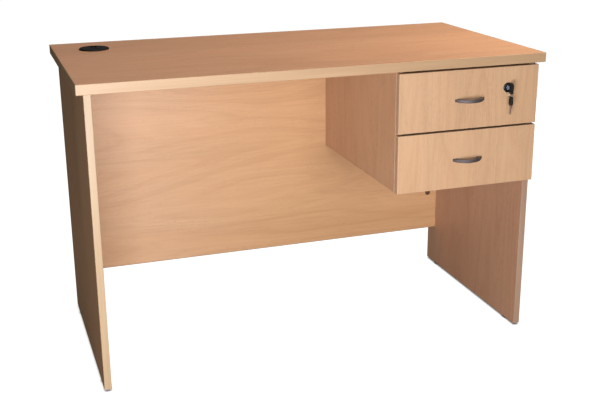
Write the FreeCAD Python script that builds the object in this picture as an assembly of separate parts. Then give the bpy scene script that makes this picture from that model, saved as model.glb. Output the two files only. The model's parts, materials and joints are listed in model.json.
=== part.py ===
import FreeCAD, Part
import math
import os

os.makedirs("parts", exist_ok=True)
V = FreeCAD.Vector

# ---------------------------------------------------------------- dimensions
# Millimetres. X to the right, Y to the back, Z up, seen from the user's chair.
desk_w = 1200.0          # desktop width
desk_d = 600.0           # desktop depth
desk_h = 775.0           # floor to writing surface
top_t = 25.0             # desktop thickness
board_t = 18.0           # leg, modesty and pedestal boards
edge_t = 2.0             # edging on desktop and legs
front_edge_t = 1.0       # edging on the drawer fronts
glide_h = 5.0            # floor glide height
glide_r = 8.5
cap_r = 8.5              # cover caps over the cam fasteners
cap_t = 1.2
side_overhang = 18.0     # desktop past each leg's outer face
leg_inset = 20.0         # leg edges behind the desktop's front and rear edges

modesty_front_y = 230.0  # front face of the modesty panel
modesty_bottom_z = 125.0

ped_x = 186.0            # outer face of the pedestal side, kneehole side
ped_bottom_z = 434.0

front_t = 16.0           # drawer front thickness
front_face_y = -298.0    # outer face of both drawer fronts
front_x0, front_x1 = 187.0, 581.0
lower_front_z = (433.0, 586.0)
upper_front_z = (591.0, 745.0)

box_t = 12.0             # drawer box boards
box_gap = 12.5           # runner space each side of a drawer box
box_h = 96.0             # drawer side height
box_len = 450.0          # drawer side length
lower_box_z = 462.0      # underside of the lower drawer's sides
upper_box_z = 614.0      # underside of the upper drawer's sides
bottom_t = 3.0           # drawer bottom board
bottom_up = 10.0         # drawer bottom above the sides' underside

roller_r = 8.5
roller_bore = 2.55
axle_r = 2.5
sheet_t = 1.2            # runner steel
front_roller_y = -264.0
rear_roller_y = 150.0

handle_x = 384.5         # handle centre, both fronts
handle_z = (509.5, 666.5)
handle_pitch = 64.0      # between the two screws
handle_len = 84.0        # over both feet
handle_foot = 14.0       # length of each foot on the front
handle_out = 25.0        # how far the bow stands out
handle_mid_t = 4.6       # bow thickness in the middle
handle_mid_h = 9.6       # bow height in the middle
handle_end_h = 6.8       # bow height just past the feet
handle_round = 1.7       # rounding of the bow's long edges

lock_x, lock_z = 493.0, 690.5
lock_face_r = 13.0       # round face of the lock on the drawer front

grommet_x, grommet_y = -494.0, 176.0
grommet_flange_r = 39.5
grommet_h = 3.8          # flange height over the desktop
grommet_hole_r = 30.0

y_shift = 12.5           # brings the middle of the overall depth to Y = 0

# ---------------------------------------------------------------- helpers
nodes = {}


def box(x0, x1, y0, y1, z0, z1):
    return Part.makeBox(x1 - x0, y1 - y0, z1 - z0, V(x0, y0, z0))


def cyl(x, y, z, ax, r, h):
    return Part.makeCylinder(r, h, V(x, y, z), V(*ax))


def cone(x, y, z, ax, r0, r1, h):
    return Part.makeCone(r0, r1, h, V(x, y, z), V(*ax))


def one(shape):
    """The single solid of a shape."""
    shape = shape.removeSplitter()
    return shape.Solids[0] if len(shape.Solids) == 1 else shape


def outer_edges(shape, axis, value, along):
    """Edges of a box that lie on the plane axis = value and run along the given axes."""
    found = []
    for e in shape.Edges:
        a, b = e.Vertexes[0].Point, e.Vertexes[-1].Point
        if abs(a[axis] - value) < 1e-6 and abs(b[axis] - value) < 1e-6:
            d = b - a
            main = max(range(3), key=lambda i: abs(d[i]))
            if main in along:
                found.append(e)
    return found


def strip(x0, x1, y0, y1, z0, z1, axis, value, along, r):
    """An edging strip whose outer face has rounded edges."""
    s = box(x0, x1, y0, y1, z0, z1)
    return s.makeFillet(r, outer_edges(s, axis, value, along))


def placed(shape, origin, ex, ez):
    """A shape moved so that its X runs along ex and its Z along ez, from origin."""
    ex, ez, o = V(*ex), V(*ez), V(*origin)
    ey = ez.cross(ex)
    m = FreeCAD.Matrix(ex.x, ey.x, ez.x, o.x,
                       ex.y, ey.y, ez.y, o.y,
                       ex.z, ey.z, ez.z, o.z,
                       0, 0, 0, 1)
    s = shape.copy()
    s.Placement = FreeCAD.Placement(m)
    return s


half_w, half_d = desk_w / 2, desk_d / 2
under = desk_h - top_t
leg_out = half_w - side_overhang
leg_in = leg_out - board_t
leg_y = half_d - leg_inset
modesty_back_y = modesty_front_y + board_t
ped_in = ped_x + board_t

# ---------------------------------------------------------------- boards
desktop = box(-half_w + edge_t, half_w - edge_t, -half_d + edge_t, half_d - edge_t, under, desk_h)
desktop = desktop.cut(cyl(grommet_x, grommet_y, under - 1, (0, 0, 1), grommet_hole_r, top_t + 2))
nodes["desktop_edging"] = [
    strip(-half_w, half_w, -half_d, -half_d + edge_t, under, desk_h, 1, -half_d, (0, 2), 1.6),
    strip(-half_w, half_w, half_d - edge_t, half_d, under, desk_h, 1, half_d, (0, 2), 1.6),
    strip(-half_w, -half_w + edge_t, -half_d + edge_t, half_d - edge_t, under, desk_h, 0, -half_w, (1,), 1.6),
    strip(half_w - edge_t, half_w, -half_d + edge_t, half_d - edge_t, under, desk_h, 0, half_w, (1,), 1.6),
]

leg = {}
for side, x0 in (("left", -leg_out), ("right", leg_in)):
    leg[side] = box(x0, x0 + board_t, -leg_y + edge_t, leg_y - edge_t, glide_h, under)
    nodes[side + "_leg_edging"] = [
        strip(x0, x0 + board_t, -leg_y, -leg_y + edge_t, glide_h, under, 1, -leg_y, (2,), 1.6),
        strip(x0, x0 + board_t, leg_y - edge_t, leg_y, glide_h, under, 1, leg_y, (2,), 1.6),
    ]

modesty = box(-leg_in, leg_in, modesty_front_y, modesty_back_y, modesty_bottom_z + edge_t, under)
nodes["modesty_edging"] = [
    strip(-leg_in, leg_in, modesty_front_y, modesty_back_y, modesty_bottom_z, modesty_bottom_z + edge_t,
          2, modesty_bottom_z, (0,), 1.6)]

ped_side = box(ped_x, ped_in, -leg_y + edge_t, modesty_front_y, ped_bottom_z + edge_t, under)
ped_bottom = box(ped_in, leg_in, -leg_y + edge_t, modesty_front_y, ped_bottom_z, ped_bottom_z + board_t)
nodes["pedestal_edging"] = [
    strip(ped_x, ped_in, -leg_y, -leg_y + edge_t, ped_bottom_z, under, 1, -leg_y, (2,), 1.6),
    strip(ped_x, ped_in, -leg_y + edge_t, modesty_front_y, ped_bottom_z, ped_bottom_z + edge_t,
          2, ped_bottom_z, (1,), 1.6),
    strip(ped_in, leg_in, -leg_y, -leg_y + edge_t, ped_bottom_z, ped_bottom_z + board_t, 1, -leg_y, (0,), 1.6),
]

board = {"desktop": desktop, "left": leg["left"], "right": leg["right"],
         "modesty": modesty, "ped_side": ped_side, "ped_bottom": ped_bottom}

# ---------------------------------------------------------------- cam fasteners and dowels
cam_discs, cam_caps, cam_bolts, dowels = [], [], [], []


def cam_joint(a, b, p, n, e, dist=30.0):
    """A cam disc let into board a at p (n points into the board), and the bolt that
    runs along e through the board's edge into board b."""
    mid = board_t / 2
    pocket = cyl(0, 0, -1, (0, 0, 1), 7.5, 14)
    bore = cyl(0, 0, mid, (1, 0, 0), 4.0, dist + 0.5)
    disc = cyl(0, 0, 0.3, (0, 0, 1), 7.4, 12.4)
    disc = disc.cut(cyl(-3.4, 0, mid, (1, 0, 0), 4.0, 14))
    for w, h in ((8.0, 1.5), (1.5, 8.0)):
        disc = disc.cut(box(-w / 2, w / 2, -h / 2, h / 2, 0, 2.0))
    cap = cyl(0, 0, -cap_t, (0, 0, 1), cap_r, cap_t)
    cap = cap.makeFillet(0.8, [x for x in cap.Edges if x.Closed and x.BoundBox.ZMax < -cap_t + 0.1])
    for w, h in ((7.6, 1.3), (1.3, 7.6)):
        cap = cap.fuse(box(-w / 2, w / 2, -h / 2, h / 2, -0.2, 1.7))
    bolt = cyl(-2.0, 0, mid, (1, 0, 0), 3.3, 3.4)
    bolt = bolt.fuse(cyl(1.2, 0, mid, (1, 0, 0), 2.2, 5.2))
    bolt = bolt.fuse(cyl(6.2, 0, mid, (1, 0, 0), 3.4, dist - 6.2))
    bolt = bolt.fuse(cyl(dist - 0.1, 0, mid, (1, 0, 0), 3.0, 11.1))
    hole = cyl(dist - 0.5, 0, mid, (1, 0, 0), 3.05, 12.2)
    board[a] = board[a].cut(placed(pocket, p, e, n)).cut(placed(bore, p, e, n))
    board[b] = board[b].cut(placed(hole, p, e, n))
    cam_discs.append(placed(one(disc), p, e, n))
    cam_caps.append(placed(one(cap), p, e, n))
    cam_bolts.append(placed(one(bolt), p, e, n))


def dowel_joint(a, b, p, e, r=4.0, in_a=20.0, in_b=10.0, store=None):
    """A plain dowel across the seam at p: in_a back into board a, in_b on into board b."""
    d = V(*e)
    start = V(*p) - d * in_a
    pin = Part.makeCylinder(r, in_a + in_b, start, d)
    pin = pin.makeChamfer(0.8, [x for x in pin.Edges if x.Closed])
    hole = Part.makeCylinder(r + 0.05, in_a + in_b + 1.0, start - d * 0.5, d)
    board[a] = board[a].cut(hole)
    board[b] = board[b].cut(hole)
    (dowels if store is None else store).append(pin)


leg_mid = leg_in + board_t / 2
mod_mid = modesty_front_y + board_t / 2
ped_mid = ped_x + board_t / 2
for side, s in (("left", -1), ("right", 1)):
    for y in (-200.0, 190.0):
        cam_joint(side, "desktop", (s * leg_in, y, under - 30), (s, 0, 0), (0, 0, 1))
    for y in (-245.0, 130.0):
        dowel_joint(side, "desktop", (s * leg_mid, y, under), (0, 0, 1))
    for z in (245.0, 650.0):
        cam_joint("modesty", side, (s * (leg_in - 30), modesty_front_y, z), (0, 1, 0), (s, 0, 0))
    for z in (175.0, 410.0):
        dowel_joint("modesty", side, (s * leg_in, mod_mid, z), (s, 0, 0))
for x in (-330.0, -60.0):
    dowel_joint("modesty", "desktop", (x, mod_mid, under), (0, 0, 1))
for y in (-180.0, 120.0):
    cam_joint("ped_side", "desktop", (ped_in, y, under - 30), (-1, 0, 0), (0, 0, 1))
for y in (-245.0, 60.0):
    dowel_joint("ped_side", "desktop", (ped_mid, y, under), (0, 0, 1))
for z in (510.0, 675.0):
    cam_joint("ped_side", "modesty", (ped_in, modesty_front_y - 30, z), (-1, 0, 0), (0, 1, 0))
bottom_mid = ped_bottom_z + board_t / 2
for y in (-170.0, 130.0):
    cam_joint("ped_bottom", "ped_side", (ped_in + 30, y, ped_bottom_z), (0, 0, 1), (-1, 0, 0))
    cam_joint("ped_bottom", "right", (leg_in - 30, y, ped_bottom_z), (0, 0, 1), (1, 0, 0))
for y in (-235.0, 60.0):
    dowel_joint("ped_bottom", "ped_side", (ped_in, y, bottom_mid), (-1, 0, 0))
    dowel_joint("ped_bottom", "right", (leg_in, y, bottom_mid), (1, 0, 0))

# ---------------------------------------------------------------- floor glides
glides = []
for s, side in ((-1, "left"), (1, "right")):
    for y in (-220.0, 220.0):
        pad = cyl(s * leg_mid, y, 0, (0, 0, 1), glide_r, glide_h)
        rim = [x for x in pad.Edges if x.Closed and x.BoundBox.ZMax < 0.1]
        pad = pad.makeFillet(1.8, rim)
        pin = cyl(s * leg_mid, y, glide_h - 1, (0, 0, 1), 1.2, 15)
        glides.append(one(pad.fuse(pin)))
        board[side] = board[side].cut(cyl(s * leg_mid, y, glide_h - 1, (0, 0, 1), 1.25, 15.5))
nodes["floor_glides"] = glides

# ---------------------------------------------------------------- screws
def pan_screw(p, d, r, head_r, head_h, length):
    """A screw whose pan head sits at p on the near face and whose shank runs along d."""
    d, p = V(*d), V(*p)
    head = Part.makeCylinder(head_r, head_h, p - d * head_h, d)
    rim = [e for e in head.Edges if e.Closed and (e.CenterOfMass - (p - d * head_h)).Length < 1e-6]
    head = head.makeFillet(head_h * 0.45, rim)
    body = Part.makeCylinder(r, length - r, p - d * 0.2, d)
    tip = Part.makeCone(r, r * 0.35, r + 0.2, p + d * (length - r - 0.2), d)
    ax = V(1, 0, 0) if abs(d.x) < 0.5 else V(0, 1, 0)
    s = head.fuse([body, tip])
    slot = Part.makeBox(head_r * 1.2, 0.9, 0.9, V(-head_r * 0.6, -0.45, -0.1))
    slot2 = Part.makeBox(0.9, head_r * 1.2, 0.9, V(-0.45, -head_r * 0.6, -0.1))
    for c in (slot, slot2):
        s = s.cut(placed(c, tuple(p - d * head_h), tuple(ax), tuple(d)))
    return one(s)


def pan_hole(p, d, r, length):
    d, p = V(*d), V(*p)
    return Part.makeCylinder(r + 0.05, length + 0.6, p - d * 0.2, d)


def csk_screw(p, d, r, head_r, length):
    """A countersunk screw, its flat head flush with the face at p."""
    d, p = V(*d), V(*p)
    head = Part.makeCone(head_r, r, head_r - r + 0.6, p, d)
    body = Part.makeCylinder(r, length - r - 1.0, p + d * 1.0, d)
    tip = Part.makeCone(r, r * 0.35, r, p + d * (length - r), d)
    ax = V(1, 0, 0) if abs(d.x) < 0.5 else V(0, 1, 0)
    s = head.fuse([body, tip])
    slot = Part.makeBox(head_r * 1.1, 0.9, 1.0, V(-head_r * 0.55, -0.45, -0.1))
    slot2 = Part.makeBox(0.9, head_r * 1.1, 1.0, V(-0.45, -head_r * 0.55, -0.1))
    for c in (slot, slot2):
        s = s.cut(placed(c, tuple(p), tuple(ax), tuple(d)))
    return one(s)


def csk_hole(p, d, r, head_r, length):
    d, p = V(*d), V(*p)
    head = Part.makeCone(head_r + 0.05, r + 0.05, head_r - r + 0.6, p, d)
    return head.fuse(Part.makeCylinder(r + 0.05, length + 0.4, p, d))


# ---------------------------------------------------------------- runners
runner_screws = []


def side_frame(side):
    """Cabinet wall position and the direction from it towards the drawer."""
    return (ped_in, 1.0, "ped_side") if side == "left" else (leg_in, -1.0, "right")


def ubox(wall, s, u0, u1, y0, y1, z0, z1):
    a, b = wall + s * u0, wall + s * u1
    return box(min(a, b), max(a, b), y0, y1, z0, z1)


def ucyl(wall, s, u0, u1, y, z, r):
    return cyl(wall + s * u0, y, z, (s, 0, 0), r, u1 - u0)


def runner_set(zb):
    """Cabinet members, cabinet rollers, drawer members and drawer rollers for one drawer."""
    z0 = zb - 4.0                       # running surface of the cabinet member
    zc = z0 + 0.3 + roller_r            # both roller axes
    zt = zc + roller_r + 0.3            # underside of the drawer member's track
    cab, cab_roll, drw, drw_roll = [], [], [], []
    for side in ("left", "right"):
        wall, s, name = side_frame(side)
        y0, y1 = -276.0, 170.0
        c = ubox(wall, s, 0, sheet_t, y0, y1, z0 - sheet_t, z0 + 34)
        c = c.fuse(ubox(wall, s, 0, 10.4, y0, y1, z0 - sheet_t, z0))
        c = c.fuse(ubox(wall, s, 0, 10.4, y0, y1, zt + sheet_t + 0.6, zt + 2 * sheet_t + 0.6))
        # rear end plate closes the channel behind the drawer's roller
        c = c.fuse(ubox(wall, s, 0, 10.4, y1 - sheet_t, y1, z0 - sheet_t, zt - 3.0))
        c = c.fuse(ucyl(wall, s, sheet_t - 0.2, 9.7, front_roller_y, zc, axle_r))
        c = c.fuse(ucyl(wall, s, 9.6, 10.6, front_roller_y, zc, 3.7))
        for y in (-225.0, -50.0, 125.0):
            p = (wall + s * sheet_t, y, z0 + 27.5)
            c = c.cut(pan_hole((wall, y, z0 + 27.5), (s, 0, 0), 2.0, 4))
            runner_screws.append(pan_screw(p, (-s, 0, 0), 2.0, 3.9, 2.0, 15))
            board[name] = board[name].cut(pan_hole(p, (-s, 0, 0), 2.0, 15))
        cab.append(one(c))
        r = ucyl(wall, s, 2.4, 9.2, front_roller_y, zc, roller_r)
        r = r.makeFillet(0.8, [e for e in r.Edges if e.Closed])
        cab_roll.append(one(r.cut(ucyl(wall, s, 2.0, 9.6, front_roller_y, zc, roller_bore))))

        d = ubox(wall, s, box_gap - sheet_t, box_gap, -280.0, 167.0, zb - sheet_t, zt + sheet_t)
        d = d.fuse(ubox(wall, s, 4.0, box_gap, -280.0, 167.0, zt, zt + sheet_t))
        d = d.fuse(ubox(wall, s, box_gap - sheet_t, box_gap + box_t - 1, -280.0, 167.0, zb - sheet_t, zb))
        d = d.fuse(ucyl(wall, s, 2.1, box_gap - sheet_t + 0.2, rear_roller_y, zc, axle_r))
        d = d.fuse(ucyl(wall, s, 1.6, 2.2, rear_roller_y, zc, 3.7))
        drw.append(d)
        r = ucyl(wall, s, 2.4, 9.2, rear_roller_y, zc, roller_r)
        r = r.makeFillet(0.8, [e for e in r.Edges if e.Closed])
        drw_roll.append(one(r.cut(ucyl(wall, s, 2.0, 9.6, rear_roller_y, zc, roller_bore))))
    return cab, cab_roll, drw, drw_roll


# ---------------------------------------------------------------- drawers
def handle(zc):
    """A bow pull: an arched band, deepest in the middle and narrower at its two feet."""
    hl = handle_len / 2
    foot = hl - handle_foot

    def P(x, out, z=0.0):
        return V(handle_x + x, front_face_y - out, zc + z)

    plan = [Part.Arc(P(-hl, 0, -12), P(0, handle_out, -12), P(hl, 0, -12)).toShape(),
            Part.LineSegment(P(hl, 0, -12), P(foot, 0, -12)).toShape(),
            Part.Arc(P(foot, 0, -12), P(0, handle_out - handle_mid_t, -12), P(-foot, 0, -12)).toShape(),
            Part.LineSegment(P(-foot, 0, -12), P(-hl, 0, -12)).toShape()]
    arch = Part.Face(Part.Wire(plan)).extrude(V(0, 0, 24))
    e, m = handle_end_h / 2, handle_mid_h / 2
    front = [Part.Arc(P(-hl - 4, -1, e), P(0, -1, m), P(hl + 4, -1, e)).toShape(),
             Part.LineSegment(P(hl + 4, -1, e), P(hl + 4, -1, -e)).toShape(),
             Part.Arc(P(hl + 4, -1, -e), P(0, -1, -m), P(-hl - 4, -1, -e)).toShape(),
             Part.LineSegment(P(-hl - 4, -1, -e), P(-hl - 4, -1, e)).toShape()]
    lens = Part.Face(Part.Wire(front)).extrude(V(0, -handle_out - 4, 0))
    bow = one(arch.common(lens))
    long_edges = [g for g in bow.Edges if max(abs(v.y - front_face_y) for v in g.discretize(5)) > 3.0]
    bow = bow.makeFillet(handle_round, long_edges)
    for s in (-1, 1):
        bow = bow.cut(cyl(handle_x + s * handle_pitch / 2, front_face_y + 0.5, zc, (0, -1, 0), 2.03, 9.0))
    return one(bow)


box_x0 = ped_in + box_gap
box_x1 = leg_in - box_gap
front_in_y = front_face_y + front_t
box_back_y = front_in_y + box_len


def drawer(prefix, zb, zf, hz):
    f = box(front_x0 + front_edge_t, front_x1 - front_edge_t, front_face_y, front_in_y,
            zf[0] + front_edge_t, zf[1] - front_edge_t)
    e = front_edge_t
    nodes[prefix + "_front_edging"] = [
        strip(front_x0, front_x1, front_face_y, front_in_y, zf[1] - e, zf[1], 2, zf[1], (0,), 0.7),
        strip(front_x0, front_x1, front_face_y, front_in_y, zf[0], zf[0] + e, 2, zf[0], (0,), 0.7),
        strip(front_x0, front_x0 + e, front_face_y, front_in_y, zf[0] + e, zf[1] - e, 0, front_x0, (2,), 0.7),
        strip(front_x1 - e, front_x1, front_face_y, front_in_y, zf[0] + e, zf[1] - e, 0, front_x1, (2,), 0.7),
    ]
    g0, g1 = zb + bottom_up, zb + bottom_up + bottom_t + 0.2
    gd = 5.0
    f = f.cut(box(box_x0 + box_t - gd - 0.1, box_x1 - box_t + gd + 0.1, front_in_y - gd - 0.1, front_in_y + 1, g0, g1))
    left = box(box_x0, box_x0 + box_t, front_in_y, box_back_y, zb, zb + box_h)
    right = box(box_x1 - box_t, box_x1, front_in_y, box_back_y, zb, zb + box_h)
    left = left.cut(box(box_x0 + box_t - gd - 0.1, box_x0 + box_t + 1, front_in_y - 1, box_back_y + 1, g0, g1))
    right = right.cut(box(box_x1 - box_t - 1, box_x1 - box_t + gd + 0.1, front_in_y - 1, box_back_y + 1, g0, g1))
    # the sides' top edges are eased
    left = left.makeFillet(1.5, outer_edges(left, 2, zb + box_h, (1,)))
    right = right.makeFillet(1.5, outer_edges(right, 2, zb + box_h, (1,)))
    back = box(box_x0 + box_t, box_x1 - box_t, box_back_y - box_t, box_back_y, g1, zb + box_h - 4)
    bottom = box(box_x0 + box_t - gd, box_x1 - box_t + gd, front_in_y - gd, box_back_y, g0 + 0.1, g0 + 0.1 + bottom_t)

    board.update({"front": f, "dleft": left, "dright": right, "back": back})
    pins = []
    for name, x in (("dleft", box_x0 + box_t / 2), ("dright", box_x1 - box_t / 2)):
        for z in (zb + 30, zb + 74):
            dowel_joint(name, "front", (x, front_in_y, z), (0, -1, 0), 3.0, 16.0, 10.0, pins)
    screws = []
    for name, x, d in (("dleft", box_x0, 1), ("dright", box_x1, -1)):
        for z in (zb + 36, zb + 72):
            p = (x, box_back_y - box_t / 2, z)
            screws.append(csk_screw(p, (d, 0, 0), 2.0, 3.9, 40))
            h = csk_hole(p, (d, 0, 0), 2.0, 3.9, 40)
            board[name] = board[name].cut(h)
            board["back"] = board["back"].cut(h)
    cab, cab_roll, drw, drw_roll = runner_set(zb)
    for i, (name, x) in enumerate((("dleft", box_x0 + box_t / 2), ("dright", box_x1 - box_t / 2))):
        for y in (-230.0, -60.0, 110.0):
            p = (x, y, zb - sheet_t)
            screws.append(pan_screw(p, (0, 0, 1), 1.75, 3.3, 1.6, 9.0))
            h = pan_hole(p, (0, 0, 1), 1.75, 9.0)
            board[name] = board[name].cut(h)
            drw[i] = drw[i].cut(h)
    hscrews = []
    for s in (-1, 1):
        p = (handle_x + s * handle_pitch / 2, front_in_y, hz)
        hscrews.append(pan_screw(p, (0, -1, 0), 2.0, 4.2, 2.6, front_t + 7.5))
        board["front"] = board["front"].cut(pan_hole(p, (0, -1, 0), 2.05, front_t + 2))
    nodes[prefix + "_front"] = board["front"]
    nodes[prefix + "_left_side"] = board["dleft"]
    nodes[prefix + "_right_side"] = board["dright"]
    nodes[prefix + "_back"] = board["back"]
    nodes[prefix + "_bottom"] = bottom
    nodes[prefix + "_dowels"] = pins
    nodes[prefix + "_screws"] = screws
    nodes[prefix + "_handle"] = handle(hz)
    nodes[prefix + "_handle_screws"] = hscrews
    nodes[prefix + "_runners"] = [one(x) for x in drw]
    nodes[prefix + "_rollers"] = drw_roll
    level = prefix.split("_")[0]
    nodes[level + "_cabinet_runners"] = cab
    nodes[level + "_cabinet_rollers"] = cab_roll


drawer("lower_drawer", lower_box_z, lower_front_z, handle_z[0])
drawer("upper_drawer", upper_box_z, upper_front_z, handle_z[1])

# ---------------------------------------------------------------- drawer lock
ly = front_face_y
barrel_r = 8.0
plug_r = 6.0
nodes["upper_drawer_front"] = nodes["upper_drawer_front"].cut(
    cyl(lock_x, ly - 1, lock_z, (0, 1, 0), barrel_r + 0.05, front_t + 2))

bezel = cyl(lock_x, ly - 3.0, lock_z, (0, 1, 0), lock_face_r, 3.0)
bezel = bezel.makeFillet(1.5, [e for e in bezel.Edges if e.Closed and e.BoundBox.YMax < ly - 2.9])
housing = bezel.fuse(cyl(lock_x, ly - 0.5, lock_z, (0, 1, 0), barrel_r, 23.5))
housing = housing.cut(cyl(lock_x, ly - 5, lock_z, (0, 1, 0), plug_r + 0.05, 40))
nodes["lock_housing"] = one(housing)

hexa = [V(lock_x + 12.7 * math.cos(math.radians(60 * i)), front_in_y, lock_z + 12.7 * math.sin(math.radians(60 * i)))
        for i in range(7)]
nut = Part.Face(Part.makePolygon(hexa)).extrude(V(0, 5, 0))
nodes["lock_nut"] = one(nut.cut(cyl(lock_x, front_in_y - 1, lock_z, (0, 1, 0), barrel_r + 0.02, 8)))

cam_y = front_in_y + 9.4                # front face of the cam plate
plug = cyl(lock_x, ly - 3.4, lock_z, (0, 1, 0), plug_r, cam_y - (ly - 3.4))
plug = plug.fuse(cyl(lock_x, cam_y - 0.5, lock_z, (0, 1, 0), 3.0, 2.5))
plug = plug.cut(box(lock_x - 1.2, lock_x + 1.2, ly - 4, ly + 18.5, lock_z - 4.2, lock_z + 4.2))
plug = plug.cut(cyl(lock_x, cam_y - 5.0, lock_z, (0, 1, 0), 1.55, 10))
nodes["lock_cylinder"] = one(plug)

# cam: points towards the pedestal side when unlocked, straight up when locked
cam_len, cam_half = 46.0, 6.5
cam = box(lock_x - cam_len + cam_half, lock_x, cam_y, cam_y + 2.0, lock_z - cam_half, lock_z + cam_half)
cam = cam.fuse(cyl(lock_x - cam_len + cam_half, cam_y, lock_z, (0, 1, 0), cam_half, 2.0))
cam = cam.fuse(cyl(lock_x, cam_y, lock_z, (0, 1, 0), 8.0, 2.0))
cam = cam.cut(cyl(lock_x, cam_y - 1, lock_z, (0, 1, 0), 3.02, 4))
nodes["lock_cam"] = one(cam)
nodes["lock_cam_screw"] = pan_screw((lock_x, cam_y + 2.0, lock_z), (0, -1, 0), 1.5, 5.0, 2.4, 6.5)

# strike bracket under the desktop, in front of the raised cam
st_y = front_in_y + 5.6
strike = box(lock_x - 14, lock_x + 14, st_y, st_y + 1.5, 717.0, under)
strike = strike.fuse(box(lock_x - 14, lock_x + 14, st_y, st_y + 32, under - 1.5, under))
strike_screws = []
for dx in (-8.0, 8.0):
    p = (lock_x + dx, st_y + 20, under - 1.5)
    strike_screws.append(pan_screw(p, (0, 0, 1), 1.75, 3.4, 1.8, 15))
    h = pan_hole(p, (0, 0, 1), 1.75, 15)
    strike = strike.cut(h)
    board["desktop"] = board["desktop"].cut(h)
nodes["lock_strike"] = one(strike)
nodes["lock_strike_screws"] = strike_screws


# ---------------------------------------------------------------- keys
def bow_plate(x0, x1, y0, y1, z0, z1, r, hole):
    """A moulded key bow: a rounded plate with soft rims and a hole for the ring."""
    s = box(x0, x1, y0, y1, z0, z1)
    s = s.makeFillet(r, [e for e in s.Edges if abs(e.Vertexes[0].X - e.Vertexes[-1].X) > 0.1])
    rims = [e for e in s.Edges if e.BoundBox.XLength < 1e-6]
    s = s.makeFillet(0.9, rims)
    return s.cut(cyl(x0 - 1, hole[0], hole[1], (1, 0, 0), 3.0, x1 - x0 + 2))


ring_y = -317.0
ring_R, ring_w = 7.5, 0.8
hole_z = 681.5
ring_top = hole_z - 1.6
ring_z = ring_top - ring_R
spare_hole = ring_z - ring_R - 1.6
bow_half = 2.2

kb = box(lock_x - 1.0, lock_x + 1.0, -312.5, ly + 17.0, lock_z - 3.6, lock_z + 3.6)
kb = kb.fuse(box(lock_x - 1.0, lock_x + 1.0, -312.5, ly - 4.6, lock_z - 6.0, lock_z + 6.0))
for i, deep in enumerate((1.4, 2.2, 1.0, 1.8)):
    y = ly + 14.0 - 4.2 * i
    tri = Part.Face(Part.makePolygon([V(lock_x - 2, y - 1.9, lock_z - 4.4), V(lock_x - 2, y + 1.9, lock_z - 4.4),
                                      V(lock_x - 2, y, lock_z - 3.6 + deep), V(lock_x - 2, y - 1.9, lock_z - 4.4)]))
    kb = kb.cut(tri.extrude(V(4, 0, 0)))
tip_cut = Part.Face(Part.makePolygon([V(lock_x - 2, ly + 17.5, lock_z - 4), V(lock_x - 2, ly + 17.5, lock_z + 0.5),
                                      V(lock_x - 2, ly + 13.5, lock_z - 4), V(lock_x - 2, ly + 17.5, lock_z - 4)]))
kb = kb.cut(tip_cut.extrude(V(4, 0, 0)))
key_blade = one(kb)
bow = bow_plate(lock_x - bow_half, lock_x + bow_half, -325.0, -308.0, 675.5, 705.5, 7.5, (ring_y, hole_z))
nodes["key_blade"] = key_blade
nodes["key_bow"] = one(bow.cut(kb))

ring = Part.makeTorus(ring_R, ring_w, V(lock_x, ring_y, ring_z), V(0, 1, 0))
nodes["key_ring"] = ring

sb_z0, sb_z1 = spare_hole - 17.0, spare_hole + 6.6
sk = box(lock_x - 1.0, lock_x + 1.0, ring_y - 3.6, ring_y + 3.6, sb_z0 - 23.0, sb_z0 + 9.0)
sk = sk.fuse(box(lock_x - 1.0, lock_x + 1.0, ring_y - 5.6, ring_y + 5.6, sb_z0 - 4.5, sb_z0 + 6.0))
for i, deep in enumerate((1.2, 2.0, 1.6, 2.2)):
    z = sb_z0 - 19.5 + 3.6 * i
    tri = Part.Face(Part.makePolygon([V(lock_x - 2, ring_y - 4.4, z - 1.9), V(lock_x - 2, ring_y - 4.4, z + 1.9),
                                      V(lock_x - 2, ring_y - 3.6 + deep, z), V(lock_x - 2, ring_y - 4.4, z - 1.9)]))
    sk = sk.cut(tri.extrude(V(4, 0, 0)))
sk = one(sk)
sbow = bow_plate(lock_x - bow_half, lock_x + bow_half, ring_y - 8.0, ring_y + 8.0, sb_z0, sb_z1, 5.5, (ring_y, spare_hole))
nodes["spare_key_blade"] = sk
nodes["spare_key_bow"] = one(sbow.cut(sk))

# ---------------------------------------------------------------- cable grommet
gx, gy = grommet_x, grommet_y


def turned(points):
    """A solid of revolution about the grommet's axis from (radius, height) points."""
    pts = [V(gx + r, gy, z) for r, z in points]
    pts.append(pts[0])
    return Part.Face(Part.makePolygon(pts)).revolve(V(gx, gy, 0), V(0, 0, 1), 360)


H = desk_h
sleeve = turned([(27.5, H - 20), (29.7, H - 20), (29.7, H), (grommet_flange_r, H), (grommet_flange_r, H + grommet_h),
                 (33.2, H + grommet_h), (33.2, H + 0.6), (27.5, H + 0.6)]).Solids[0]
rim = [e for e in sleeve.Edges if e.Closed and e.BoundBox.ZMin > H + grommet_h - 0.01
       and e.BoundBox.XLength > 2 * grommet_flange_r - 0.1]
sleeve = sleeve.makeFillet(2.6, rim)
nodes["grommet_sleeve"] = one(sleeve)
cover = turned([(0.0, H + 0.6), (26.0, H + 0.6), (26.0, H - 8), (27.1, H - 8), (27.1, H + 0.6), (32.8, H + 0.6),
                (32.8, H + grommet_h - 0.5), (32.2, H + grommet_h + 0.1), (0.0, H + grommet_h + 0.1)]).Solids[0]
# the cable notch runs from the middle of the cover to its rear rim
notch = box(gx - 10.0, gx + 10.0, gy + 14.0, gy + 40.0, H - 12, H + 6)
notch = notch.fuse(cyl(gx, gy + 14.0, H - 12, (0, 0, 1), 10.0, 18.0))
cover = cover.cut(notch)
cover = cover.fuse(cyl(gx, gy, H - 3.2, (0, 0, 1), 3.0, 4.2))
cover = cover.fuse(cyl(gx, gy, H - 4.4, (0, 0, 1), 5.0, 1.3))
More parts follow.
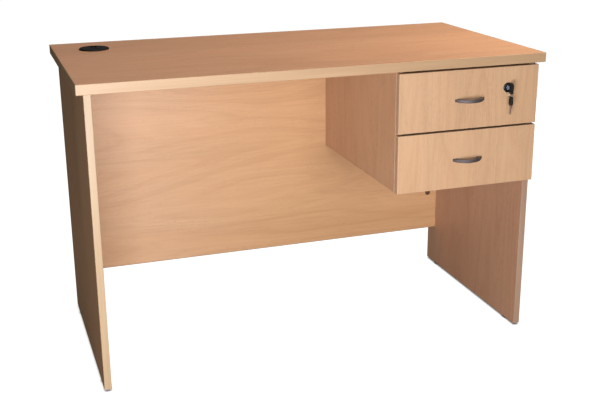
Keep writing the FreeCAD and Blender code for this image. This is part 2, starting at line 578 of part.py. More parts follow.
# raised finger ridges on the front half of the cover
for i in range(3):
    y = gy - 14.0 - 5.0 * i
    w = math.sqrt(max(0.0, 29.0 ** 2 - (y - gy) ** 2)) * 0.55
    cover = cover.fuse(box(gx - w, gx + w, y - 0.9, y + 0.9, H + grommet_h - 0.2, H + grommet_h + 0.6))
nodes["grommet_cover"] = one(cover)
shut = cyl(gx, gy, H - 2.6, (0, 0, 1), 25.4, 2.6)
shut = shut.cut(box(gx - 30, gx + 30, gy - 30, gy - 4.2, H - 4, H + 2))
shut = shut.fuse(cyl(gx, gy, H - 2.6, (0, 0, 1), 6.5, 2.6))
shut = shut.cut(cyl(gx, gy, H - 4, (0, 0, 1), 3.06, 8))
nodes["grommet_shutter"] = one(shut)

# ---------------------------------------------------------------- nodes
nodes["desktop_panel"] = board["desktop"]
nodes["left_leg_panel"] = board["left"]
nodes["right_leg_panel"] = board["right"]
nodes["modesty_panel"] = board["modesty"]
nodes["pedestal_side_panel"] = board["ped_side"]
nodes["pedestal_bottom_panel"] = board["ped_bottom"]
nodes["cam_discs"] = cam_discs
nodes["cam_caps"] = cam_caps
nodes["cam_bolts"] = cam_bolts
nodes["wood_dowels"] = dowels
nodes["cabinet_runner_screws"] = runner_screws

total = None
for name in sorted(nodes):
    item = nodes[name]
    if isinstance(item, list):
        solids = [s for part in item for s in part.Solids]
    else:
        solids = list(item.Solids)
    for s in solids:
        if not s.isValid() or s.Volume <= 0:
            print("bad solid in", name, s.isValid(), s.Volume)
    shape = solids[0].copy() if len(solids) == 1 else Part.makeCompound(solids)
    shape.translate(V(0, y_shift, 0))
    shape.exportStep("parts/" + name + ".step")
    total = shape.BoundBox if total is None else total.united(shape.BoundBox)
    bb = shape.BoundBox
    print("%-28s %2d solids  %10.1f mm3  x %.1f..%.1f y %.1f..%.1f z %.1f..%.1f" % (
        name, len(solids), shape.Volume, bb.XMin, bb.XMax, bb.YMin, bb.YMax, bb.ZMin, bb.ZMax))
print(len(nodes), "nodes; overall", total)
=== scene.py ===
import json
import math

import bmesh
import bpy
from mathutils import Matrix, Vector

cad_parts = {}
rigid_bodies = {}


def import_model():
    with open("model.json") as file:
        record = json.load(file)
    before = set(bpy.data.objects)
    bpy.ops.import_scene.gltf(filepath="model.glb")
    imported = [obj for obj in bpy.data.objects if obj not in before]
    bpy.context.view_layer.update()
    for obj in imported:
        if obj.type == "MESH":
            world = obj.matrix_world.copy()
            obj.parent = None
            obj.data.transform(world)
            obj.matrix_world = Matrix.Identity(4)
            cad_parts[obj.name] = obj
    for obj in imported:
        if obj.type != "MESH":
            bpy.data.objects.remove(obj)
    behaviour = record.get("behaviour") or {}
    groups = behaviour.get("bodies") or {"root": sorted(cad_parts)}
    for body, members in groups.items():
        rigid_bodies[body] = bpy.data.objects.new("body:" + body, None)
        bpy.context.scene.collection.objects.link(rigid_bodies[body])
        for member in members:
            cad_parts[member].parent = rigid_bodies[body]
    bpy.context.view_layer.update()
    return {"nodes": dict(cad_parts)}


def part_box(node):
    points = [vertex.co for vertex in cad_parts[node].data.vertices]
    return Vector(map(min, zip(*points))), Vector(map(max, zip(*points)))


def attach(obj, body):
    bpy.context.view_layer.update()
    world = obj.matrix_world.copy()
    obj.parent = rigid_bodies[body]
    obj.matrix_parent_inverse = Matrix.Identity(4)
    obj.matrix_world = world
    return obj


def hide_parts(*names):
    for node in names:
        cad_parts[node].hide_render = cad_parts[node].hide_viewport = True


for _o in list(bpy.data.objects):
    bpy.data.objects.remove(_o, do_unlink=True)

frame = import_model()
NODES = frame["nodes"]


# ------------------------------------------------------------------ shader helpers
class Tree:
    """A small builder for one material's nodes."""

    def __init__(self, name):
        self.mat = bpy.data.materials.new(name)
        self.mat.use_nodes = True
        self.nt = self.mat.node_tree
        self.nt.nodes.clear()
        self.out = self.nt.nodes.new("ShaderNodeOutputMaterial")
        self.bsdf = self.nt.nodes.new("ShaderNodeBsdfPrincipled")
        self.nt.links.new(self.bsdf.outputs["BSDF"], self.out.inputs["Surface"])

    def node(self, kind):
        return self.nt.nodes.new(kind)

    def link(self, a, b):
        self.nt.links.new(a, b)

    def put(self, value, socket):
        if isinstance(value, bpy.types.NodeSocket):
            self.link(value, socket)
        else:
            socket.default_value = value

    def set(self, **values):
        for k, v in values.items():
            self.put(v, self.bsdf.inputs[k.replace("_", " ")])

    def math(self, op, a, b=0.0, c=None, clamp=False):
        n = self.node("ShaderNodeMath")
        n.operation = op
        n.use_clamp = clamp
        self.put(a, n.inputs[0])
        self.put(b, n.inputs[1])
        if c is not None:
            self.put(c, n.inputs[2])
        return n.outputs[0]

    def mul(self, a, b):
        return self.math("MULTIPLY", a, b)

    def add(self, a, b):
        return self.math("ADD", a, b)

    def sub(self, a, b):
        return self.math("SUBTRACT", a, b)

    def span(self, v, lo, hi, to_lo=0.0, to_hi=1.0, smooth=False):
        n = self.node("ShaderNodeMapRange")
        n.clamp = True
        if smooth:
            n.interpolation_type = "SMOOTHSTEP"
        self.put(v, n.inputs[0])
        for i, x in enumerate((lo, hi, to_lo, to_hi)):
            n.inputs[i + 1].default_value = x
        return n.outputs[0]

    def mix(self, fac, a, b, blend="MIX"):
        n = self.node("ShaderNodeMix")
        n.data_type = "RGBA"
        n.blend_type = blend
        self.put(fac, n.inputs[0])
        self.put(a if isinstance(a, bpy.types.NodeSocket) else (*a, 1.0), n.inputs[6])
        self.put(b if isinstance(b, bpy.types.NodeSocket) else (*b, 1.0), n.inputs[7])
        return n.outputs[2]

    def coords(self):
        if not hasattr(self, "_xyz"):
            tc = self.node("ShaderNodeTexCoord")
            sp = self.node("ShaderNodeSeparateXYZ")
            self.link(tc.outputs["Object"], sp.inputs[0])
            self._xyz = dict(zip("XYZ", sp.outputs))
            self._obj = tc.outputs["Object"]
        return self._xyz

    def obj(self):
        self.coords()
        return self._obj

    def vec(self, x, y, z, sx=1.0, sy=1.0, sz=1.0, seed=(0.0, 0.0, 0.0)):
        n = self.node("ShaderNodeCombineXYZ")
        for i, (v, s, o) in enumerate(((x, sx, seed[0]), (y, sy, seed[1]), (z, sz, seed[2]))):
            if v is None:
                n.inputs[i].default_value = o
            else:
                self.link(self.math("MULTIPLY_ADD", v, s, o), n.inputs[i])
        return n.outputs[0]

    def noise(self, vector, scale=1.0, detail=2.0, rough=0.5, distort=0.0, color=False):
        n = self.node("ShaderNodeTexNoise")
        self.link(vector, n.inputs["Vector"])
        n.inputs["Scale"].default_value = scale
        n.inputs["Detail"].default_value = detail
        n.inputs["Roughness"].default_value = rough
        n.inputs["Distortion"].default_value = distort
        return n.outputs["Color" if color else "Fac"]

    def voronoi(self, vector, scale, feature="F1", out="Distance"):
        n = self.node("ShaderNodeTexVoronoi")
        n.feature = feature
        self.link(vector, n.inputs["Vector"])
        n.inputs["Scale"].default_value = scale
        return n.outputs[out]

    def bump(self, height, strength=0.1, distance=0.0004, normal=None):
        n = self.node("ShaderNodeBump")
        n.inputs["Strength"].default_value = strength
        n.inputs["Distance"].default_value = distance
        self.link(height, n.inputs["Height"])
        if normal is not None:
            self.link(normal, n.inputs["Normal"])
        self.link(n.outputs[0], self.bsdf.inputs["Normal"])
        return n.outputs[0]

    def edge_mask(self, radius=0.0012):
        """1 along convex and concave edges, 0 on open faces."""
        bv = self.node("ShaderNodeBevel")
        bv.samples = 4
        bv.inputs["Radius"].default_value = radius
        geo = self.node("ShaderNodeNewGeometry")
        d = self.node("ShaderNodeVectorMath")
        d.operation = "DOT_PRODUCT"
        self.link(bv.outputs[0], d.inputs[0])
        self.link(geo.outputs["Normal"], d.inputs[1])
        return self.span(d.outputs["Value"], 0.99, 0.80)


# ------------------------------------------------------------------ board finishes
def beech(name, grain, across, light, dark, seed, ring=1.0, streak=1.0, fleck=1.0, rough=0.40, spread=1.0, bump=0.10,
          painted_light_tint_to=None):
    """Printed beech board: slow tone drift, cathedral bands, fibre streaks and the short
    dark flecks of beech, all drawn out along the grain, under a fine pearl texture."""
    t = Tree(name)
    c = t.coords()
    g, a = c[grain], c[across]
    s = Vector(seed)

    def sd(k):
        return (s.x + 3.1 * k, s.y + 1.7 * k, s.z + 2.3 * k)

    drift = t.noise(t.vec(g, a, None, 1.3, 4.5, 1, sd(1)), 1.0, 2.0, 0.5)
    plank = t.noise(t.vec(g, a, None, 0.35, 9.0, 1, sd(7)), 1.0, 1.0, 0.4)
    field = t.noise(t.vec(g, a, None, 0.85, 6.0, 1, sd(2)), 1.0, 1.6, 0.42)
    phase = t.math("MULTIPLY_ADD", field, 78.0, t.mul(a, 46.0))
    band = t.math("MULTIPLY_ADD", t.math("SINE", phase), 0.5, 0.5)
    band = t.math("POWER", band, 2.4)
    fine = t.math("MULTIPLY_ADD", t.math("SINE", t.math("MULTIPLY_ADD", phase, 3.3, t.mul(drift, 9.0))), 0.5, 0.5)
    fine = t.math("POWER", fine, 1.8)
    rings = t.math("MULTIPLY_ADD", band, 0.62, t.mul(fine, 0.38))
    st1 = t.noise(t.vec(g, a, None, 5.0, 240.0, 1, sd(3)), 1.0, 4.0, 0.62)
    st2 = t.noise(t.vec(g, a, None, 16.0, 900.0, 1, sd(4)), 1.0, 2.0, 0.5)
    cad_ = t.noise(t.vec(g, a, None, 95.0, 1050.0, 1, sd(5)), 1.0, 0.6, 0.4)
    flecks = t.span(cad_, 0.60, 0.70)
    patch = t.span(t.noise(t.vec(g, a, None, 6.0, 26.0, 1, sd(6)), 1.0, 2.0, 0.5), 0.40, 0.62)
    flecks = t.mul(flecks, t.math("MULTIPLY_ADD", patch, 0.75, 0.25))

    w = t.math("MULTIPLY_ADD", t.sub(drift, 0.5), 0.75 * spread, 0.40)
    w = t.add(w, t.mul(t.sub(plank, 0.5), 0.55 * spread))
    w = t.add(w, t.mul(t.sub(rings, 0.35), 0.30 * ring))
    w = t.add(w, t.mul(t.sub(st1, 0.5), 1.05 * streak))
    w = t.math("ADD", w, t.mul(t.sub(st2, 0.5), 0.55 * streak), clamp=True)
    col = t.mix(w, light, dark)
    # painted light: an optional tint ramp along the grain, from the board's own tones to a warmer pair, standing in
    # for cooler light on one side and warmer light on the other
    if painted_light_tint_to:
        lo, hi, light2, dark2 = painted_light_tint_to
        along = t.math("MULTIPLY_ADD", t.sub(drift, 0.5), 0.12, g)
        col = t.mix(t.span(along, lo, hi, smooth=True), col, t.mix(w, light2, dark2))
    warm = t.span(t.noise(t.vec(g, a, None, 2.2, 14.0, 1, sd(8)), 1.0, 2.0, 0.5), 0.35, 0.7)
    col = t.mix(t.mul(warm, 0.22), col, (light[0] * 1.02, light[1] * 0.88, light[2] * 0.78))
    col = t.mix(t.mul(flecks, 0.42 * fleck), col, (dark[0] * 0.58, dark[1] * 0.50, dark[2] * 0.46))
    pearl = t.noise(t.obj(), 1400.0, 1.5, 0.5)
    smear = t.noise(t.vec(c["X"], c["Y"], c["Z"], 7.0, 7.0, 7.0, sd(9)), 1.0, 3.0, 0.55)
    r = t.math("MULTIPLY_ADD", st1, 0.10, rough - 0.10)
    r = t.add(r, t.mul(flecks, 0.08))
    r = t.add(r, t.mul(smear, 0.11))
    h = t.math("MULTIPLY_ADD", st1, 0.5, t.mul(pearl, 0.35))
    h = t.sub(h, t.mul(flecks, 0.7))
    t.bump(h, bump, 0.00035)
    t.set(Base_Color=col, Roughness=r, IOR=1.47)
    return t.mat


def edging(name, runs, light, dark, seed, rough=0.42):
    """Edging strip: fine streaks along the strip, with a painted highlight lightening its rounded rims.
    runs is [(axis the strip runs along, axis across it, mask or None)]; a mask is
    (axis, low, high) and picks the strips of a node that run that way."""
    t = Tree(name)
    c = t.coords()
    total = None
    for i, (g, a, mask) in enumerate(runs):
        sd = (seed[0] + 1.3 * i, seed[1] + 0.7 * i, seed[2])
        st = t.noise(t.vec(c[g], c[a], None, 4.0, 330.0, 1, sd), 1.0, 4.0, 0.6)
        dr = t.noise(t.vec(c[g], c[a], None, 2.4, 30.0, 1, (sd[1], sd[2], sd[0])), 1.0, 2.0, 0.5)
        v = t.math("MULTIPLY_ADD", t.sub(st, 0.5), 1.25, t.math("MULTIPLY_ADD", t.sub(dr, 0.5), 1.15, 0.42))
        if mask is None:
            total = v
        else:
            m = t.span(t.math("ABSOLUTE", c[mask[0]]) if mask[3:] else c[mask[0]], mask[1], mask[2])
            total = t.add(t.mul(v, m), t.mul(total, t.sub(1.0, m)))
    total = t.math("ADD", total, 0.0, clamp=True)
    col = t.mix(total, light, dark)
    # painted highlight: the rounded rims are lightened as if they caught the light
    em = t.edge_mask(0.0016)
    col = t.mix(t.mul(em, 0.35), col, (min(1, light[0] * 1.15), min(1, light[1] * 1.18), min(1, light[2] * 1.22)))
    pearl = t.noise(t.obj(), 1600.0, 1.0, 0.5)
    t.bump(t.math("MULTIPLY_ADD", total, 0.5, t.mul(pearl, 0.4)), 0.08, 0.0003)
    t.set(Base_Color=col, Roughness=t.math("MULTIPLY_ADD", pearl, 0.12, rough - 0.06), IOR=1.47)
    return t.mat


def raw_board(name, light, dark, seed, axis="X"):
    """Thin hardboard: fibrous brown, with a faint mesh in its surface."""
    t = Tree(name)
    c = t.coords()
    fib = t.noise(t.obj(), 420.0, 4.0, 0.65)
    fib2 = t.noise(t.vec(c["X"], c["Y"], c["Z"], 160.0, 60.0, 160.0, seed), 1.0, 3.0, 0.6)
    big = t.noise(t.obj(), 6.0, 2.0, 0.5)
    w = t.math("MULTIPLY_ADD", t.sub(fib, 0.5), 1.3, t.math("MULTIPLY_ADD", t.sub(fib2, 0.5), 0.9, big), clamp=True)
    col = t.mix(w, light, dark)
    t.bump(t.math("MULTIPLY_ADD", fib, 0.6, t.mul(fib2, 0.4)), 0.18, 0.0003)
    t.set(Base_Color=col, Roughness=t.math("MULTIPLY_ADD", fib, 0.2, 0.45), IOR=1.45)
    return t.mat


# ------------------------------------------------------------------ metal and plastic finishes
def metal(name, base, rough, grain=None, across=None, tint=None, scratch=0.5, wear=0.0, bump=0.05):
    """Plated metal: brushing along one axis, cloudy handling marks and fine scratches."""
    t = Tree(name)
    c = t.coords()
    cloud = t.noise(t.obj(), 70.0, 3.0, 0.6)
    if grain:
        other = [k for k in "XYZ" if k not in (grain, across)][0]
        br = t.noise(t.vec(c[grain], c[across], c[other], 130.0, 5200.0, 5200.0), 1.0, 3.0, 0.6)
    else:
        br = t.noise(t.obj(), 2600.0, 3.0, 0.6)
    sc = t.noise(t.vec(c["X"], c["Y"], c["Z"], 900.0, 260.0, 1700.0), 1.0, 1.0, 0.5)
    sc = t.mul(t.span(sc, 0.64, 0.70), scratch)
    dark = tuple(x * 0.72 for x in base)
    col = t.mix(t.math("MULTIPLY_ADD", t.sub(br, 0.5), 0.9, t.mul(cloud, 0.55), clamp=True), base, dark)
    if tint:
        col = t.mix(t.span(t.noise(t.obj(), 38.0, 2.0, 0.5), 0.42, 0.66), col, tint)
    if wear:
        col = t.mix(t.mul(t.edge_mask(0.0009), wear), col, tuple(min(1.0, x * 1.35) for x in base))
    r = t.math("MULTIPLY_ADD", t.sub(cloud, 0.5), 0.22, rough)
    r = t.add(r, t.mul(t.sub(br, 0.5), 0.16))
    r = t.math("ADD", r, t.mul(sc, 0.15), clamp=True)
    t.bump(t.math("MULTIPLY_ADD", br, 0.6, t.mul(sc, -0.5)), bump, 0.00012)
    t.set(Base_Color=col, Metallic=1.0, Roughness=r)
    return t.mat


def plastic(name, base, rough, grain=900.0, scuff=0.25, bump=0.16, haze=None, spec=0.5):
    """Moulded plastic: spark-eroded grain, dusty haze in places, scuffed rims."""
    t = Tree(name)
    gr = t.noise(t.obj(), grain, 2.0, 0.55)
    gr2 = t.voronoi(t.obj(), grain * 1.3)
    cloud = t.noise(t.obj(), 30.0, 3.0, 0.6)
    haze = haze or tuple(min(1.0, x * 1.6 + 0.012) for x in base)
    col = t.mix(t.span(cloud, 0.40, 0.72), base, haze)
    em = t.mul(t.edge_mask(0.0010), t.span(t.noise(t.obj(), 160.0, 2.0, 0.5), 0.35, 0.65))
    col = t.mix(t.mul(em, scuff), col, tuple(min(1.0, x * 1.9 + 0.05) for x in base))
    r = t.math("MULTIPLY_ADD", t.sub(gr, 0.5), 0.18, rough)
    r = t.math("ADD", r, t.mul(t.sub(cloud, 0.5), 0.16), clamp=True)
    t.bump(t.math("MULTIPLY_ADD", gr, 0.6, t.mul(gr2, 0.4)), bump, 0.00018)
    t.set(Base_Color=col, Roughness=r, IOR=1.48, Specular_IOR_Level=spec)
    return t.mat


def coated(name, base, rough):
    """Epoxy-coated sheet steel: orange peel, slightly yellowed in places, rubbed edges."""
    t = Tree(name)
    peel = t.noise(t.obj(), 620.0, 1.5, 0.45)
    cloud = t.noise(t.obj(), 14.0, 3.0, 0.55)
    col = t.mix(t.span(cloud, 0.38, 0.70), base, tuple(x * k for x, k in zip(base, (0.97, 0.93, 0.82))))
    em = t.mul(t.edge_mask(0.0008), t.span(t.noise(t.obj(), 120.0, 2.0, 0.5), 0.45, 0.6))
    col = t.mix(t.mul(em, 0.35), col, (0.32, 0.31, 0.30))
    t.bump(peel, 0.12, 0.0003)
    t.set(Base_Color=col, Roughness=t.math("MULTIPLY_ADD", t.sub(peel, 0.5), 0.15, rough), IOR=1.5)
    return t.mat


def tone(pair, k):
    """A (light, dark) pair of board tones made k times as bright."""
    return tuple(tuple(x * k for x in c) for c in pair)


# painted light and shade: the boards and edging strips are one beech laminate, but these tone pairs and the per-part
# tones and factors below give each part its own brightness and hue, standing in for how light falls on it
BOARD = ((0.600, 0.364, 0.220), (0.450, 0.250, 0.139))
FRONT = ((0.584, 0.372, 0.233), (0.451, 0.265, 0.153))
EDGE = ((0.488, 0.320, 0.194), (0.389, 0.235, 0.134))

mats = {
    # painted light: the desktop is a brighter copy of the board tones
    "desktop_panel": beech("beech_desktop", "X", "Y", *tone(BOARD, 1.166), (0.3, 4.1, 1.0), rough=0.36),
    "left_leg_panel": beech("beech_left_leg", "Z", "Y", *tone(BOARD, 0.98), (7.3, 2.2, 0.4)),
    # painted shade: the right leg is a darker copy of the board tones
    "right_leg_panel": beech("beech_right_leg", "Z", "Y", (0.540, 0.318, 0.209), (0.405, 0.218, 0.132), (2.9, 8.4, 3.1)),
    # painted light: the modesty panel is a lighter copy of the board tones
    "modesty_panel": beech("beech_modesty", "X", "Z", (0.668, 0.420, 0.262), (0.502, 0.288, 0.166), (5.5, 0.7, 6.2), streak=0.85,
                           fleck=0.55, painted_light_tint_to=(-0.45, 0.15, (0.668, 0.395, 0.212), (0.501, 0.271, 0.134))),
    "pedestal_side_panel": beech("beech_pedestal_side", "Z", "Y", *tone(BOARD, 1.02), (9.1, 5.2, 2.0)),
    "pedestal_bottom_panel": beech("beech_pedestal_bottom", "X", "Y", *BOARD, (1.9, 6.6, 8.0)),
    "upper_drawer_front": beech("beech_upper_front", "Z", "X", *FRONT, (4.4, 3.8, 5.0), fleck=0.7),
    "lower_drawer_front": beech("beech_lower_front", "Z", "X", *tone(FRONT, 1.03), (8.2, 1.1, 7.0), fleck=0.7),
    "desktop_edging": edging("edging_desktop", [("X", "Z", None), ("Y", "Z", ("X", 0.5979, 0.5981, True))],
                             *EDGE, (0.2, 0.9, 0.5)),
    "left_leg_edging": edging("edging_left_leg", [("Z", "X", None)], (0.465, 0.334, 0.212), (0.372, 0.246, 0.146),
                              (1.2, 2.9, 0.1)),
    # painted shade: the right leg's edging is darker than the left leg's
    "right_leg_edging": edging("edging_right_leg", [("Z", "X", None)], (0.425, 0.282, 0.208), (0.340, 0.207, 0.143),
                               (3.2, 1.9, 0.8)),
    # painted shade: the modesty panel's bottom edging gets a dark reddish tone for the shade along that edge
    "modesty_edging": edging("edging_modesty", [("X", "Y", None)], (0.36, 0.20, 0.11), (0.28, 0.14, 0.075),
                             (2.2, 5.9, 1.8)),
    # painted shade: the pedestal edging is a darker copy of the board tones
    "pedestal_edging": edging("edging_pedestal",
                              [("Z", "X", None), ("Y", "X", ("Y", -0.2654, -0.2652)),
                               ("X", "Z", ("X", 0.2039, 0.2041))], *tone(BOARD, 0.80), (6.2, 0.3, 2.8)),
    "upper_drawer_front_edging": edging("edging_upper_front", [("X", "Y", None)], (0.500, 0.330, 0.210),
                                        (0.400, 0.250, 0.150), (4.0, 4.9, 2.1)),
    "lower_drawer_front_edging": edging("edging_lower_front", [("X", "Y", None)], (0.500, 0.330, 0.210),
                                        (0.400, 0.250, 0.150), (5.0, 3.9, 1.1)),
}
for lv, off in (("upper", 0.0), ("lower", 5.0)):
    for part, grain, across in (("left_side", "Y", "Z"), ("right_side", "Y", "Z"), ("back", "X", "Z")):
        off += 1.37
        mats[lv + "_drawer_" + part] = beech("beech_%s_%s" % (lv, part), grain, across,
                                              (0.600, 0.400, 0.255), (0.470, 0.290, 0.172), (off, off * 0.7, 2.0))
    mats[lv + "_drawer_bottom"] = raw_board("hardboard_" + lv, (0.42, 0.27, 0.155), (0.27, 0.155, 0.08), (off, 1.0, 2.0))

cap_brown = plastic("cap_brown_moulding", (0.085, 0.036, 0.016), 0.48, grain=1100.0, scuff=0.2)
dark_steel = coated("black_coated_steel", (0.020, 0.020, 0.021), 0.45)
lock_black = plastic("lock_black_gloss", (0.008, 0.008, 0.010), 0.24, grain=1900.0, scuff=0.25, bump=0.05)
zinc = metal("zinc_plated", (0.60, 0.60, 0.585), 0.34, tint=(0.56, 0.55, 0.44), wear=0.4)
nickel = metal("satin_nickel", (0.185, 0.160, 0.166), 0.68, "X", "Z", wear=0.35)
# painted reflection: the plating is tinted blue so the cylinder face shows a bluish reflection
chrome = metal("lock_plating", (0.150, 0.180, 0.290), 0.42, scratch=0.7, wear=0.3, bump=0.03)
key_metal = metal("key_nickel_silver", (0.40, 0.385, 0.355), 0.34, "Z", "Y", scratch=0.9, wear=0.5)
black = plastic("black_moulding", (0.006, 0.006, 0.007), 0.55, haze=(0.012, 0.012, 0.013), spec=0.22)
key_black = plastic("key_bow_moulding", (0.005, 0.005, 0.006), 0.50, grain=1500.0, scuff=0.30,
                    haze=(0.011, 0.011, 0.012), spec=0.22)
nylon = plastic("roller_nylon", (0.66, 0.65, 0.60), 0.38, grain=700.0, scuff=0.1, bump=0.08, haze=(0.60, 0.58, 0.50))
runner = coated("runner_coating", (0.74, 0.72, 0.65), 0.34)
dowel = beech("dowel_beech", "X", "Y", (0.62, 0.45, 0.27), (0.50, 0.33, 0.18), (3.3, 2.0, 6.0), rough=0.6)

for n in ("cam_discs", "cam_bolts", "cabinet_runner_screws", "lock_strike_screws", "lock_nut", "lock_cam",
          "lock_cam_screw", "upper_drawer_screws", "lower_drawer_screws", "upper_drawer_handle_screws",
          "lower_drawer_handle_screws"):
    mats[n] = zinc
for n in ("upper_drawer_handle", "lower_drawer_handle"):
    mats[n] = nickel
mats["lock_cylinder"] = chrome
mats["lock_housing"] = lock_black
mats["lock_strike"] = dark_steel
mats["cam_caps"] = cap_brown
for n in ("key_blade", "spare_key_blade", "key_ring"):
    mats[n] = key_metal
for n in ("key_bow", "spare_key_bow"):
    mats[n] = key_black
for n in ("floor_glides", "grommet_sleeve", "grommet_cover", "grommet_shutter"):
    mats[n] = black
for n in ("upper_cabinet_rollers", "lower_cabinet_rollers", "upper_drawer_rollers", "lower_drawer_rollers"):
    mats[n] = nylon
for n in ("upper_cabinet_runners", "lower_cabinet_runners", "upper_drawer_runners", "lower_drawer_runners"):
    mats[n] = runner
for n in ("wood_dowels", "upper_drawer_dowels", "lower_drawer_dowels"):
    mats[n] = dowel

for n, o in NODES.items():
    o.data.materials.clear()
    o.data.materials.append(mats[n])


# ------------------------------------------------------------------ key ring
def split_ring(name, centre, radius, half_r, half_y, pitch, start, gap):
    """A flat spring wire wound twice round the Y axis. It crosses from the front coil to the
    rear one next to its two free ends; half_r and half_y are half the wire's section."""
    c = 0.28
    section = [(-half_r, -half_y * (1 - c)), (-half_r * (1 - c), -half_y), (half_r * (1 - c), -half_y),
               (half_r, -half_y * (1 - c)), (half_r, half_y * (1 - c)), (half_r * (1 - c), half_y),
               (-half_r * (1 - c), half_y), (-half_r, half_y * (1 - c))]
    steps = 220
    b = bmesh.new()
    rows = []
    for i in range(steps + 1):
        a = gap + (4 * math.pi - 2 * gap) * i / steps
        k = min(1.0, max(0.0, (a - (2 * math.pi - gap)) / (2 * gap)))
        y = pitch * (k * k * (3 - 2 * k) - 0.5)
        rows.append([b.verts.new((centre[0] + (radius + r) * math.cos(a + start), centre[1] + y + w,
                                  centre[2] + (radius + r) * math.sin(a + start))) for r, w in section])
    n = len(section)
    for p, q in zip(rows, rows[1:]):
        for j in range(n):
            b.faces.new((p[j], p[(j + 1) % n], q[(j + 1) % n], q[j])).smooth = True
    b.faces.new(list(reversed(rows[0])))
    b.faces.new(rows[-1])
    bmesh.ops.recalc_face_normals(b, faces=b.faces)
    for e in b.edges:
        if len(e.link_faces) == 2 and e.calc_face_angle(0.0) > 0.6:
            e.smooth = False
    m = bpy.data.meshes.new(name)
    b.to_mesh(m)
    b.free()
    o = bpy.data.objects.new(name, m)
    bpy.context.scene.collection.objects.link(o)
    return o


ring_lo, ring_hi = (Vector(c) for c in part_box("key_ring"))
ring_mid = (ring_lo + ring_hi) / 2
ring = split_ring("split_key_ring", ring_mid, 0.0075, 0.00046, 0.00030, 0.00066, math.radians(205), math.radians(24))
ring.data.materials.append(key_metal)
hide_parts("key_ring")
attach(ring, "key_ring")


# ------------------------------------------------------------------ stage, camera, light
def material_floor():
    """Pale seamless paper: bright to the eye, less bright as a reflector, and darkened by a painted
    contact shadow where something stands close above it."""
    m = bpy.data.materials.new("studio_floor")
    m.use_nodes = True
    nt = m.node_tree
    nt.nodes.clear()
    out = nt.nodes.new("ShaderNodeOutputMaterial")
    seen = nt.nodes.new("ShaderNodeAddShader")
    glow = nt.nodes.new("ShaderNodeEmission")
    glow.inputs["Color"].default_value = (1.0, 1.0, 1.0, 1.0)
    # painted contact shadow: ambient occlusion under the legs and glides dims the floor's glow
    near = nt.nodes.new("ShaderNodeAmbientOcclusion")
    near.samples = 8
    near.inputs["Distance"].default_value = 0.008
    ramp = nt.nodes.new("ShaderNodeMapRange")
    for i, v in enumerate((0.38, 0.92, 0.0, 1.0)):
        ramp.inputs[i + 1].default_value = v
    nt.links.new(near.outputs["AO"], ramp.inputs[0])
    nt.links.new(ramp.outputs[0], glow.inputs["Strength"])
    paper = nt.nodes.new("ShaderNodeBsdfDiffuse")
    paper.inputs["Color"].default_value = (0.22, 0.22, 0.22, 1.0)
    dim = nt.nodes.new("ShaderNodeBsdfDiffuse")
    dim.inputs["Color"].default_value = (0.20, 0.145, 0.10, 1.0)
    path = nt.nodes.new("ShaderNodeLightPath")
    mix = nt.nodes.new("ShaderNodeMixShader")
    nt.links.new(glow.outputs[0], seen.inputs[0])
    nt.links.new(paper.outputs[0], seen.inputs[1])
    nt.links.new(path.outputs["Is Camera Ray"], mix.inputs[0])
    nt.links.new(dim.outputs[0], mix.inputs[1])
    nt.links.new(seen.outputs[0], mix.inputs[2])
    nt.links.new(mix.outputs[0], out.inputs["Surface"])
    return m


bm = bmesh.new()
bmesh.ops.create_grid(bm, x_segments=4, y_segments=4, size=14.0)
me = bpy.data.meshes.new("studio_floor")
bm.to_mesh(me)
bm.free()
floor = bpy.data.objects.new("studio_floor", me)
bpy.context.scene.collection.objects.link(floor)
me.materials.append(material_floor())

scene = bpy.context.scene
yaw, pitch, roll = (math.radians(v) for v in (18.8523, -17.5669, -0.3767))
eye = Vector((-0.82506, -2.51306, 1.21258))
fwd = Vector((math.sin(yaw) * math.cos(pitch), math.cos(yaw) * math.cos(pitch), math.sin(pitch)))
right = fwd.cross(Vector((0, 0, 1))).normalized()
up = right.cross(fwd)
rr = right * math.cos(roll) + up * math.sin(roll)
uu = up * math.cos(roll) - right * math.sin(roll)
cam_data = bpy.data.cameras.new("photo_camera")
cam_data.sensor_fit = "HORIZONTAL"
cam_data.sensor_width = 36.0
cam_data.lens = 997.6 / 600.0 * 36.0
cam_data.shift_x = (300.0 - 304.0) / 600.0
cam_data.shift_y = (192.2 - 200.0) / 600.0
cam_data.clip_end = 60.0
cam = bpy.data.objects.new("photo_camera", cam_data)
scene.collection.objects.link(cam)
cam.matrix_world = Matrix(((rr.x, uu.x, -fwd.x, eye.x), (rr.y, uu.y, -fwd.y, eye.y),
                           (rr.z, uu.z, -fwd.z, eye.z), (0, 0, 0, 1)))
scene.camera = cam


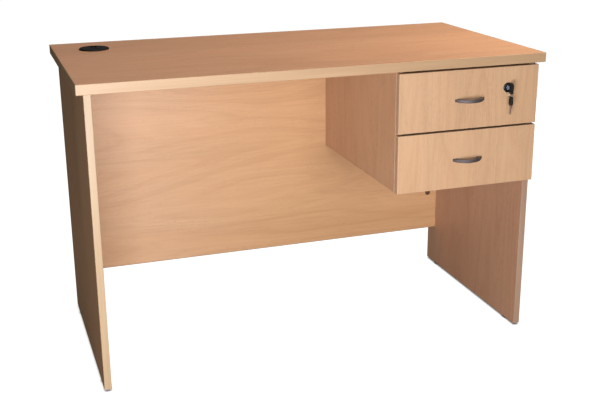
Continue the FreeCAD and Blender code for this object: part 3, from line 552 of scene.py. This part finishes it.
def area(name, at, aim, size, power, color=(1, 1, 1)):
    d = bpy.data.lights.new(name, "AREA")
    d.shape = "RECTANGLE"
    d.size, d.size_y = size
    d.energy = power
    d.color = color
    o = bpy.data.objects.new(name, d)
    scene.collection.objects.link(o)
    o.location = at
    o.rotation_euler = (Vector(aim) - Vector(at)).to_track_quat("-Z", "Y").to_euler()
    o.visible_camera = False
    return o


area("front_softbox", (0.05, -2.8, 1.0), (0.0, 0.0, 0.5), (1.2, 0.8), 34.5, (1.0, 1.0, 0.94))
area("left_softbox", (-0.76, -1.71, 0.425), (-0.2, 0.1, 0.30), (0.6, 0.5), 28.0, (0.98, 1.0, 1.03))
area("right_softbox", (0.9, -0.12, 1.5), (0.3, -0.05, 0.77), (0.6, 0.6), 8.2, (1.0, 0.79, 0.59))
area("top_softbox", (-0.15, -0.3, 2.6), (-0.1, 0.0, 0.77), (1.4, 1.2), 20.2, (1.0, 0.77, 0.70))
back = area("back_softbox", (1.9, 2.6, 0.70), (0.0, 0.25, 0.40), (1.6, 0.9), 48.0)
back.visible_glossy = False

world = bpy.data.worlds.new("studio_world")
scene.world = world
world.use_nodes = True
wt = world.node_tree
wt.nodes.clear()
w_out = wt.nodes.new("ShaderNodeOutputWorld")
w_mix = wt.nodes.new("ShaderNodeMixShader")
w_path = wt.nodes.new("ShaderNodeLightPath")
fill = wt.nodes.new("ShaderNodeBackground")
fill.inputs["Color"].default_value = (0.92, 1.0, 0.96, 1.0)
fill.inputs["Strength"].default_value = 0.15
backdrop = wt.nodes.new("ShaderNodeBackground")
backdrop.inputs["Color"].default_value = (1.0, 1.0, 1.0, 1.0)
backdrop.inputs["Strength"].default_value = 1.0
wt.links.new(w_path.outputs["Is Camera Ray"], w_mix.inputs[0])
wt.links.new(fill.outputs[0], w_mix.inputs[1])
wt.links.new(backdrop.outputs[0], w_mix.inputs[2])
wt.links.new(w_mix.outputs[0], w_out.inputs["Surface"])

scene.view_settings.view_transform = "Standard"
scene.view_settings.look = "None"
scene.view_settings.exposure = 0.0
scene.view_settings.gamma = 1.0
